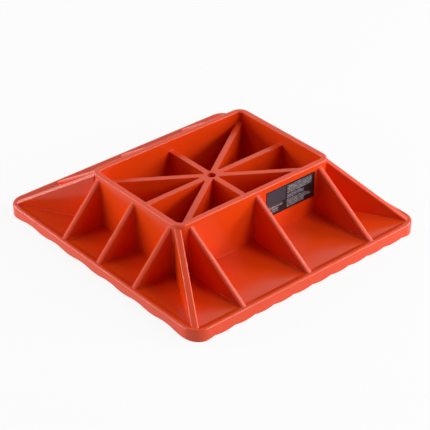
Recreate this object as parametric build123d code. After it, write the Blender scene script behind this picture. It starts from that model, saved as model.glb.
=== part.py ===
from build123d import *
from math import atan2, degrees, hypot
import os

# A square base that stands under the foot of a tall farm-type jack on soft ground.
# It is one plastic moulding, with a printed film label on one wall of its box.
# Lengths are in millimetres. The origin is at the middle of the footprint, on the ground, with +Z up.
# The label is on the wall that faces -Y.

# Base tray
base_side = 310.0
base_corner_radius = 18.0
lip_top = 14.0
lip_edge_radius = 2.0
lip_width = 3.0
lip_slope_width = 5.0
lip_blend_radius = 8.0
tray_floor = 13.0
plate_thickness = 5.0

# Box that takes the foot of the jack
box_length = 209.6
box_width = 142.8
box_wall = 6.5
box_corner_radius = 12.0
box_top = 71.3
rim_edge_radius = 1.5

# Ribs that carry the foot of the jack inside the box, and the hole where they meet
foot_recess_depth = 13.7
seat_rib_width = 6.5
centre_hole_diameter = 9.5
collar_diameter = 16.0
collar_end_height = 3.0
pocket_corner_radius = 1.0

# Gussets from the box walls to the lip
gusset_thickness = 6.5
gusset_edge_radius = 2.4
gusset_drop = 4.5
gusset_foot_margin = 2.8
gusset_foot_height = 13.4
long_side_gusset_pitch = 88.0
short_side_gusset_pitch = 57.3

# Ribs from the box corners to the corners of the base
corner_rib_thickness = 6.8
corner_rib_edge_radius = 1.5
corner_rib_drop = 3.6
corner_rib_start_inset_x = 2.9
corner_rib_start_inset_y = 4.3
corner_rib_foot_margin = 8.0

# Skirt and tread on the underside
skirt_thickness = 5.0
tread_bar_thickness = 4.0
tread_lift = 0.5
lobe_count = 12
lobe_depth = 1.6
wave_count = 7
wave_height = 2.0
short_side_lift = 2.5

# Label
label_length = 68.4
label_height = 30.4
label_thickness = 0.3
label_centre_x = 46.3
label_centre_z = 48.7

# Depth by which one form runs into the next, inside the moulding
sink = 1.0

# Sizes that follow from the ones above
half_base = base_side / 2
half_length = box_length / 2
half_width = box_width / 2
seat_length = box_length - 2 * box_wall
seat_width = box_width - 2 * box_wall
seat_height = box_top - foot_recess_depth
plate_underside = tray_floor - plate_thickness
lobe_pitch = base_side / lobe_count
wave_pitch = base_side / wave_count
corner_start = half_base - base_corner_radius


def rounded_prism(length, width, radius, low, high):
    """An upright prism with rounded corners between two heights."""
    outline = RectangleRounded(length, width, radius)
    return Pos(0, 0, low) * extrude(outline, high - low)


def top_edges(solid):
    """The edges round the highest face."""
    return solid.faces().sort_by(Axis.Z)[-1].edges()


def tray_hollow():
    """The shallow hollow inside the lip, with sloping sides."""
    mouth_side = base_side - 2 * lip_width
    floor_side = mouth_side - 2 * lip_slope_width
    mouth_radius = base_corner_radius - lip_width
    floor_radius = mouth_radius - lip_slope_width
    floor_outline = RectangleRounded(floor_side, floor_side, floor_radius)
    mouth_outline = RectangleRounded(mouth_side, mouth_side, mouth_radius)
    return loft([Pos(0, 0, tray_floor) * floor_outline, Pos(0, 0, lip_top) * mouth_outline])


def base_slab():
    """The base as one block down to the ground, with its rounded edge and low lip."""
    slab = rounded_prism(base_side, base_side, base_corner_radius, 0, lip_top)
    slab = fillet(top_edges(slab), lip_edge_radius) - tray_hollow()
    floor_edges = slab.edges().filter_by_position(Axis.Z, tray_floor, tray_floor)
    return fillet(floor_edges, lip_blend_radius)


def box_block():
    """The box with its rounded rim and the recess for the foot, before the pockets are cut."""
    block = rounded_prism(box_length, box_width, box_corner_radius, plate_underside, box_top)
    recess_radius = box_corner_radius - box_wall
    block -= rounded_prism(seat_length, seat_width, recess_radius, seat_height, box_top)
    return fillet(top_edges(block), rim_edge_radius)


def pockets():
    """The eight three-cornered pockets between the ribs inside the box."""
    recess_radius = box_corner_radius - box_wall
    outline = RectangleRounded(seat_length, seat_width, recess_radius)
    diagonal = hypot(seat_length, seat_width)
    diagonal_angle = degrees(atan2(seat_width, seat_length))
    for angle in (0, diagonal_angle, 90, 180 - diagonal_angle):
        outline -= Rot(0, 0, angle) * Rectangle(diagonal, seat_rib_width)
    cutters = []
    for face in outline.faces():
        core = offset(face, -pocket_corner_radius, kind=Kind.ARC)
        rounded = offset(core, pocket_corner_radius, kind=Kind.ARC)
        cutters.append(Pos(0, 0, tray_floor) * extrude(rounded, seat_height - tray_floor + sink))
    return cutters


def slope_profile(run, wall_height, foot_height):
    """Side view of a sloping rib: x is the distance out from the wall, y is the height."""
    rise = (wall_height - foot_height) / run
    low = tray_floor - sink
    return Polygon(
        (-sink, wall_height + sink * rise),
        (-sink, low),
        (run, low),
        (run, foot_height),
        align=None,
    )


def sloping_rib(run, wall_height, thickness, edge_radius):
    """A rib that leaves the wall at x = 0 and runs down along +X to its foot."""
    profile = Plane.XZ * slope_profile(run, wall_height, gusset_foot_height)
    rib = extrude(profile, thickness / 2, both=True)
    slope = rib.faces().sort_by(lambda face: face.normal_at().Z)[-1]
    return fillet(slope.edges().sort_by(SortBy.LENGTH)[-2:], edge_radius)


def gussets():
    """Three gussets on each wall of the box."""
    wall_height = box_top - gusset_drop
    long_run = half_base - gusset_foot_margin - half_width
    short_run = half_base - gusset_foot_margin - half_length
    long_gusset = sloping_rib(long_run, wall_height, gusset_thickness, gusset_edge_radius)
    short_gusset = sloping_rib(short_run, wall_height, gusset_thickness, gusset_edge_radius)
    ribs = []
    for step in (-1, 0, 1):
        for side in (-1, 1):
            ribs.append(
                Pos(step * long_side_gusset_pitch, side * half_width, 0)
                * Rot(0, 0, side * 90)
                * long_gusset
            )
            ribs.append(
                Pos(side * half_length, step * short_side_gusset_pitch, 0)
                * Rot(0, 0, 90 - side * 90)
                * short_gusset
            )
    return ribs


def corner_ribs():
    """The four ribs from the corners of the box to the corners of the base."""
    start_x = half_length - corner_rib_start_inset_x
    start_y = half_width - corner_rib_start_inset_y
    foot = half_base - corner_rib_foot_margin
    run = hypot(foot - start_x, foot - start_y)
    angle = degrees(atan2(foot - start_y, foot - start_x))
    wall_height = box_top - corner_rib_drop
    rib = sloping_rib(run, wall_height, corner_rib_thickness, corner_rib_edge_radius)
    rib = Pos(start_x, start_y, 0) * Rot(0, 0, angle) * rib
    other = mirror(rib, Plane.YZ)
    return [rib, other, mirror(rib, Plane.XZ), mirror(other, Plane.XZ)]


def lobed_line():
    """The scalloped lower edge along X: round lobes that meet in cusps."""
    arcs = []
    for index in range(lobe_count):
        left = (-half_base + index * lobe_pitch, lobe_depth)
        lowest = (left[0] + lobe_pitch / 2, 0)
        right = (left[0] + lobe_pitch, lobe_depth)
        arcs.append(ThreePointArc(left, lowest, right))
    return arcs


def s_curve(start, end):
    """Two arcs that leave one point level and reach the other level."""
    middle = ((start[0] + end[0]) / 2, (start[1] + end[1]) / 2)
    return [
        TangentArc(start, middle, tangent=(1, 0)),
        TangentArc(end, middle, tangent=(-1, 0)),
    ]


def wave_line():
    """The waved lower edge along Y, which comes down to the lobes at both corners."""
    low = short_side_lift
    high = short_side_lift + wave_height
    wave_end = half_base - wave_pitch
    arcs = s_curve((-corner_start, lobe_depth), (-wave_end, high))
    for index in range(1, wave_count - 1):
        left = -half_base + index * wave_pitch
        arcs += s_curve((left, high), (left + wave_pitch / 2, low))
        arcs += s_curve((left + wave_pitch / 2, low), (left + wave_pitch, high))
    return arcs + s_curve((wave_end, high), (corner_start, lobe_depth))


def edge_face(arcs, reach):
    """What lies under a lower edge that spans the same distance both ways."""
    closing = Polyline((-reach, lobe_depth), (-reach, -sink), (reach, -sink), (reach, lobe_depth))
    return make_face(arcs + [closing])


def skirt_cutters():
    """What is cut from the lower edge of the skirt on all four sides."""
    long_cutter = extrude(Plane.XZ * edge_face(lobed_line(), half_base), base_corner_radius + sink)
    short_face = edge_face(wave_line(), corner_start)
    short_cutter = extrude(Plane.YZ * short_face, skirt_thickness + 2 * sink)
    long_cutter = Pos(0, -corner_start, 0) * long_cutter
    short_cutter = Pos(half_base - skirt_thickness - sink, 0, 0) * short_cutter
    return [
        long_cutter,
        mirror(long_cutter, Plane.XZ),
        short_cutter,
        mirror(short_cutter, Plane.YZ),
    ]


def tread():
    """The grid of bars under the plate: one along Y on each lobe, one along X on each wave."""
    top = plate_underside + sink
    bars = []
    for index in range(lobe_count):
        outline = Rectangle(tread_bar_thickness, base_side)
        place = Pos(-half_base + (index + 0.5) * lobe_pitch, 0, tread_lift)
        bars.append(place * extrude(outline, top - tread_lift))
    cross_bar_lift = short_side_lift + tread_lift
    for index in range(wave_count):
        outline = Rectangle(base_side, tread_bar_thickness)
        place = Pos(0, -half_base + (index + 0.5) * wave_pitch, cross_bar_lift)
        bars.append(place * extrude(outline, top - cross_bar_lift))
    limit_side = base_side - skirt_thickness
    limit_radius = base_corner_radius - skirt_thickness / 2
    limit = rounded_prism(limit_side, limit_side, limit_radius, 0, top)
    return [bar & limit for bar in bars]


def hole_collar():
    """The round collar under the plate that the centre hole runs through."""
    collar = Circle(collar_diameter / 2)
    return Pos(0, 0, collar_end_height) * extrude(collar, plate_underside + sink - collar_end_height)


def jack_base():
    """The whole moulding."""
    hollow_side = base_side - 2 * skirt_thickness
    hollow_radius = base_corner_radius - skirt_thickness
    body = base_slab()
    body -= rounded_prism(hollow_side, hollow_side, hollow_radius, -sink, plate_underside)
    body -= skirt_cutters()
    body += box_block()
    body -= pockets()
    body += gussets() + corner_ribs()
    body += tread() + [hole_collar()]
    body -= Cylinder(centre_hole_diameter / 2, 2 * box_top)
    return body


def side_label():
    """The film label on the -Y wall."""
    film = Box(label_length, label_thickness, label_height)
    return Pos(label_centre_x, -half_width - label_thickness / 2, label_centre_z) * film


os.makedirs("parts", exist_ok=True)
export_step(jack_base(), "parts/jack_base.step")
export_step(side_label(), "parts/side_label.step")
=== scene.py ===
import bpy
from math import cos, radians, sin
from mathutils import Matrix, Vector


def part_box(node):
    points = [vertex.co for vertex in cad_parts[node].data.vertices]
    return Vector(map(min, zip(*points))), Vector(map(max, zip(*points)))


# A jack base on a pale floor: one orange moulding with a dark printed label.
# Lengths are in metres. The moulding and its label come from the frame and keep their place.
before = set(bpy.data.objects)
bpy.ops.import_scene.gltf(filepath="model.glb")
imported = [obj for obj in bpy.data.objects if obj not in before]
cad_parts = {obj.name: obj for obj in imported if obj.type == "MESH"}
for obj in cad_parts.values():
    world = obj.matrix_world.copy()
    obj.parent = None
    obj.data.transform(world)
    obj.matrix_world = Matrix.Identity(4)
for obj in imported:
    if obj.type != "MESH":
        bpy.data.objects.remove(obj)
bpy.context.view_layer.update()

# Camera
camera_azimuth = radians(-41.394)
camera_elevation = radians(32.998)
camera_roll = radians(0.609)
camera_distance = 1.67543
camera_aim_height = 0.0133
camera_aim_right = 0.00416
camera_aim_up = -0.00469
camera_lens_mm = 132.4
sensor_width_mm = 36.0

# Plastic
plastic_colour = (0.79, 0.060, 0.004)
plastic_deep_colour = (0.74, 0.050, 0.003)
plastic_ior = 1.45
plastic_smoothest = 0.18
plastic_roughest = 0.22
plastic_edge_radius = 0.0007
plastic_edge_samples = 6
cloud_scale = 14.0
cloud_detail = 4.0
dimple_scale = 130.0
dimple_strength = 0.01
dimple_depth = 0.001
grain_scale = 900.0
grain_strength = 0.02
grain_depth = 0.0002
fine_detail = 2.0

# Label
label_black = (0.006, 0.005, 0.007)
label_dark_grey = (0.040, 0.040, 0.056)
label_light_grey = (0.34, 0.36, 0.40)
label_ior = 1.45
label_roughness = 0.36
film_ripple_scale = 90.0
film_ripple_strength = 0.06
film_ripple_depth = 0.0005

# What is printed on the label, in shares of its length and height from its lower left corner
label_field = (0.016, 0.398, 0.42, 0.964)
label_dash_length = 0.018
label_faintest_dash = 0.25
label_row_low = 0.15
label_row_high = 0.78

# A column beside the label, whose random numbers say how far short each row of dashes ends
row_end_column = -1.0

# Blocks of dashes: left, right, low, high, rows to the label's height, unevenness of the right ends
label_blocks = (
    (0.05, 0.36, 0.07, 0.39, 11.0, 0.13),
    (0.43, 0.96, 0.61, 0.93, 14.5, 0.04),
    (0.43, 0.80, 0.44, 0.58, 14.5, 0.09),
    (0.43, 0.94, 0.08, 0.38, 14.5, 0.18),
)

# Floor and surroundings
floor_size = 8.0
floor_colour = (0.86, 0.86, 0.86)
floor_glow_share = 0.9
white = (1.0, 1.0, 1.0)

# Lamps: soft panels of one size, in banks. Each is placed by azimuth and elevation in degrees.
panel_width = 0.75
panel_height = 0.6
panel_distance = 1.9
front_right_bank = ((22, 28), (45, 8), (68, 28))
front_right_power = 14.5
back_left_bank = ((-158, 28), (-135, 8), (-112, 8))
back_left_power = 11.0
fill_bank = ((-135, 55), (45, 55), (112, 8))
fill_power = 5.0


def new_material(name):
    """An empty node material and its node tree."""
    material = bpy.data.materials.new(name)
    material.use_nodes = True
    material.node_tree.nodes.clear()
    return material, material.node_tree


def add_node(tree, kind, **settings):
    """A node with its properties set."""
    node = tree.nodes.new(kind)
    for key, value in settings.items():
        setattr(node, key, value)
    return node


def feed(tree, socket, value):
    """Give an input socket a number or another node's output."""
    if isinstance(value, bpy.types.NodeSocket):
        tree.links.new(value, socket)
    else:
        socket.default_value = value


def calculate(tree, operation, *values):
    """A math node; each input is a number or another node's output."""
    node = add_node(tree, "ShaderNodeMath", operation=operation)
    for socket, value in zip(node.inputs, values):
        feed(tree, socket, value)
    return node.outputs[0]


def noise(tree, vector, scale, detail):
    """Noise over the surface, between 0 and 1."""
    node = add_node(tree, "ShaderNodeTexNoise")
    node.inputs["Scale"].default_value = scale
    node.inputs["Detail"].default_value = detail
    tree.links.new(vector, node.inputs["Vector"])
    return node.outputs["Fac"]


def rescale(tree, value, low, high):
    """Spread a value between 0 and 1 over another span."""
    node = add_node(tree, "ShaderNodeMapRange")
    node.inputs["To Min"].default_value = low
    node.inputs["To Max"].default_value = high
    tree.links.new(value, node.inputs["Value"])
    return node.outputs["Result"]


def blend_colours(tree, factor, first, second):
    """Mix two colours, each a triple or another node's output."""
    # The node repeats its sockets' names for each data type: inputs 6 and 7 and output 2 are colours.
    node = add_node(tree, "ShaderNodeMix", data_type="RGBA")
    tree.links.new(factor, node.inputs[0])
    for socket, value in ((node.inputs[6], first), (node.inputs[7], second)):
        if isinstance(value, bpy.types.NodeSocket):
            tree.links.new(value, socket)
        else:
            socket.default_value = (*value, 1.0)
    return node.outputs[2]


def bump(tree, height, strength, depth, normal=None):
    """Small relief from a height, on top of another normal if one is given."""
    node = add_node(tree, "ShaderNodeBump")
    node.inputs["Strength"].default_value = strength
    node.inputs["Distance"].default_value = depth
    tree.links.new(height, node.inputs["Height"])
    if normal is not None:
        tree.links.new(normal, node.inputs["Normal"])
    return node.outputs["Normal"]


def rounded_edges(tree, radius):
    """The surface normal, turned as if edges and inner corners had this radius."""
    node = add_node(tree, "ShaderNodeBevel", samples=plastic_edge_samples)
    node.inputs["Radius"].default_value = radius
    return node.outputs["Normal"]


def finish_material(tree, shader):
    """Connect the shader to the material's surface."""
    output = add_node(tree, "ShaderNodeOutputMaterial")
    tree.links.new(shader.outputs[0], output.inputs["Surface"])


def moulded_plastic():
    """Satin orange plastic with faint flow clouds, a fine grain and softened edges."""
    material, tree = new_material("moulded_plastic")
    place = add_node(tree, "ShaderNodeTexCoord").outputs["Object"]
    clouds = noise(tree, place, cloud_scale, cloud_detail)
    dimples = noise(tree, place, dimple_scale, fine_detail)
    grain = noise(tree, place, grain_scale, fine_detail)

    shader = add_node(tree, "ShaderNodeBsdfPrincipled")
    shader.inputs["IOR"].default_value = plastic_ior
    colour = blend_colours(tree, clouds, plastic_colour, plastic_deep_colour)
    tree.links.new(colour, shader.inputs["Base Color"])
    gloss = rescale(tree, clouds, plastic_smoothest, plastic_roughest)
    tree.links.new(gloss, shader.inputs["Roughness"])
    normal = rounded_edges(tree, plastic_edge_radius)
    normal = bump(tree, dimples, dimple_strength, dimple_depth, normal)
    normal = bump(tree, grain, grain_strength, grain_depth, normal)
    tree.links.new(normal, shader.inputs["Normal"])
    finish_material(tree, shader)
    return material


def between(tree, value, low, high):
    """1 where a value lies between two limits, else 0."""
    above = calculate(tree, "GREATER_THAN", value, low)
    below = calculate(tree, "LESS_THAN", value, high)
    return calculate(tree, "MULTIPLY", above, below)


def window(tree, across, up, left, right, low, high):
    """1 inside a rectangle, else 0."""
    columns = between(tree, across, left, right)
    rows = between(tree, up, low, high)
    return calculate(tree, "MULTIPLY", columns, rows)


def random_value(tree, column, row):
    """A random number between 0 and 1 for each whole-numbered place."""
    place = add_node(tree, "ShaderNodeCombineXYZ")
    feed(tree, place.inputs["X"], column)
    feed(tree, place.inputs["Y"], row)
    node = add_node(tree, "ShaderNodeTexWhiteNoise", noise_dimensions="3D")
    tree.links.new(place.outputs[0], node.inputs["Vector"])
    return node.outputs["Value"]


def dash_rows(tree, across, up, left, right, low, high, row_count, ragged):
    """Rows of plain dashes of uneven brightness, with uneven right ends."""
    row_place = calculate(tree, "MULTIPLY", up, row_count)
    row = calculate(tree, "FLOOR", row_place)
    column = calculate(tree, "FLOOR", calculate(tree, "DIVIDE", across, label_dash_length))
    shortening = random_value(tree, row_end_column, row)
    end = calculate(tree, "MULTIPLY_ADD", shortening, -ragged, right)
    inside_row = between(tree, calculate(tree, "FRACT", row_place), label_row_low, label_row_high)
    inside_length = calculate(tree, "LESS_THAN", across, end)
    dashes = calculate(tree, "MULTIPLY", inside_row, inside_length)
    brightness = rescale(tree, random_value(tree, column, row), label_faintest_dash, 1.0)
    dashes = calculate(tree, "MULTIPLY", dashes, brightness)
    return calculate(tree, "MULTIPLY", dashes, window(tree, across, up, left, right, low, high))


def label_film():
    """Dark film with a border, a grey field and rows of plain dashes."""
    material, tree = new_material("label_film")
    low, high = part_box("side_label")
    place = add_node(tree, "ShaderNodeTexCoord").outputs["Object"]
    parts = add_node(tree, "ShaderNodeSeparateXYZ")
    tree.links.new(place, parts.inputs[0])
    across = calculate(tree, "SUBTRACT", parts.outputs["X"], low[0])
    across = calculate(tree, "DIVIDE", across, high[0] - low[0])
    up = calculate(tree, "SUBTRACT", parts.outputs["Z"], low[2])
    up = calculate(tree, "DIVIDE", up, high[2] - low[2])

    field = window(tree, across, up, *label_field)
    colour = blend_colours(tree, field, label_black, label_dark_grey)
    for block in label_blocks:
        dashes = dash_rows(tree, across, up, *block)
        colour = blend_colours(tree, dashes, colour, label_light_grey)
    shader = add_node(tree, "ShaderNodeBsdfPrincipled")
    shader.inputs["Roughness"].default_value = label_roughness
    shader.inputs["IOR"].default_value = label_ior
    tree.links.new(colour, shader.inputs["Base Color"])
    ripple = noise(tree, place, film_ripple_scale, fine_detail)
    normal = bump(tree, ripple, film_ripple_strength, film_ripple_depth)
    tree.links.new(normal, shader.inputs["Normal"])
    finish_material(tree, shader)
    return material


def dress(node_name, material):
    """Give a node of the frame its finish."""
    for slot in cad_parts[node_name].material_slots:
        slot.material = material


def background_rays(tree):
    """1 for rays that look at the background: the camera's, glossy and transmission ones."""
    path = add_node(tree, "ShaderNodeLightPath")
    seen = calculate(tree, "MAXIMUM", path.outputs["Is Camera Ray"], path.outputs["Is Glossy Ray"])
    return calculate(tree, "MAXIMUM", seen, path.outputs["Is Transmission Ray"])


def add_floor():
    """The pale floor: near white where it is looked at, apart from a soft shadow."""
    material, tree = new_material("pale_floor")
    matt = add_node(tree, "ShaderNodeBsdfDiffuse")
    matt.inputs["Color"].default_value = (*floor_colour, 1.0)
    glow = add_node(tree, "ShaderNodeEmission")
    glow.inputs["Color"].default_value = (*white, 1.0)
    mix = add_node(tree, "ShaderNodeMixShader")
    share = calculate(tree, "MULTIPLY", background_rays(tree), floor_glow_share)
    tree.links.new(share, mix.inputs[0])
    tree.links.new(matt.outputs[0], mix.inputs[1])
    tree.links.new(glow.outputs[0], mix.inputs[2])
    finish_material(tree, mix)

    mesh = bpy.data.meshes.new("floor")
    half = floor_size / 2
    corners = [(-half, -half, 0), (half, -half, 0), (half, half, 0), (-half, half, 0)]
    mesh.from_pydata(corners, [], [(0, 1, 2, 3)])
    mesh.materials.append(material)
    floor = bpy.data.objects.new("floor", mesh)
    bpy.context.scene.collection.objects.link(floor)


def set_world():
    """White surroundings where they are looked at; they add no light to matt surfaces."""
    world = bpy.data.worlds.new("studio")
    bpy.context.scene.world = world
    world.use_nodes = True
    tree = world.node_tree
    tree.nodes.clear()
    background = add_node(tree, "ShaderNodeBackground")
    background.inputs["Color"].default_value = (*white, 1.0)
    tree.links.new(background_rays(tree), background.inputs["Strength"])
    output = add_node(tree, "ShaderNodeOutputWorld")
    tree.links.new(background.outputs[0], output.inputs["Surface"])


def direction(azimuth, elevation):
    """The unit vector from the object towards a viewer or a lamp."""
    flat = cos(elevation)
    return Vector((sin(azimuth) * flat, -cos(azimuth) * flat, sin(elevation)))


def add_panel(name, azimuth, elevation, power):
    """A soft rectangular lamp that faces the object."""
    light = bpy.data.lights.new(name, "AREA")
    light.shape = "RECTANGLE"
    light.size = panel_width
    light.size_y = panel_height
    light.energy = power
    lamp = bpy.data.objects.new(name, light)
    towards = direction(radians(azimuth), radians(elevation))
    lamp.location = towards * panel_distance
    lamp.rotation_mode = "QUATERNION"
    lamp.rotation_quaternion = towards.to_track_quat("Z", "Y")
    bpy.context.scene.collection.objects.link(lamp)


def add_bank(name, places, power):
    """Panels of equal power, one at each place."""
    for number, (azimuth, elevation) in enumerate(places, 1):
        add_panel(f"{name}_{number}", azimuth, elevation, power)


def add_camera():
    """The camera, at the photograph's place and angle."""
    back = direction(camera_azimuth, camera_elevation)
    right = (-back).cross(Vector((0, 0, 1))).normalized()
    up = right.cross(-back)
    right, up = (
        cos(camera_roll) * right + sin(camera_roll) * up,
        cos(camera_roll) * up - sin(camera_roll) * right,
    )
    aim = Vector((0, 0, camera_aim_height)) + camera_aim_right * right + camera_aim_up * up
    data = bpy.data.cameras.new("camera")
    data.sensor_width = sensor_width_mm
    data.lens = camera_lens_mm
    camera = bpy.data.objects.new("camera", data)
    turn = Matrix((right, up, back)).transposed()
    camera.matrix_world = Matrix.Translation(aim + back * camera_distance) @ turn.to_4x4()
    bpy.context.scene.collection.objects.link(camera)
    bpy.context.scene.camera = camera


dress("jack_base", moulded_plastic())
dress("side_label", label_film())
add_floor()
set_world()
add_bank("front_right", front_right_bank, front_right_power)
add_bank("back_left", back_left_bank, back_left_power)
add_bank("fill", fill_bank, fill_power)
add_camera()
bpy.context.scene.view_settings.view_transform = "Standard"
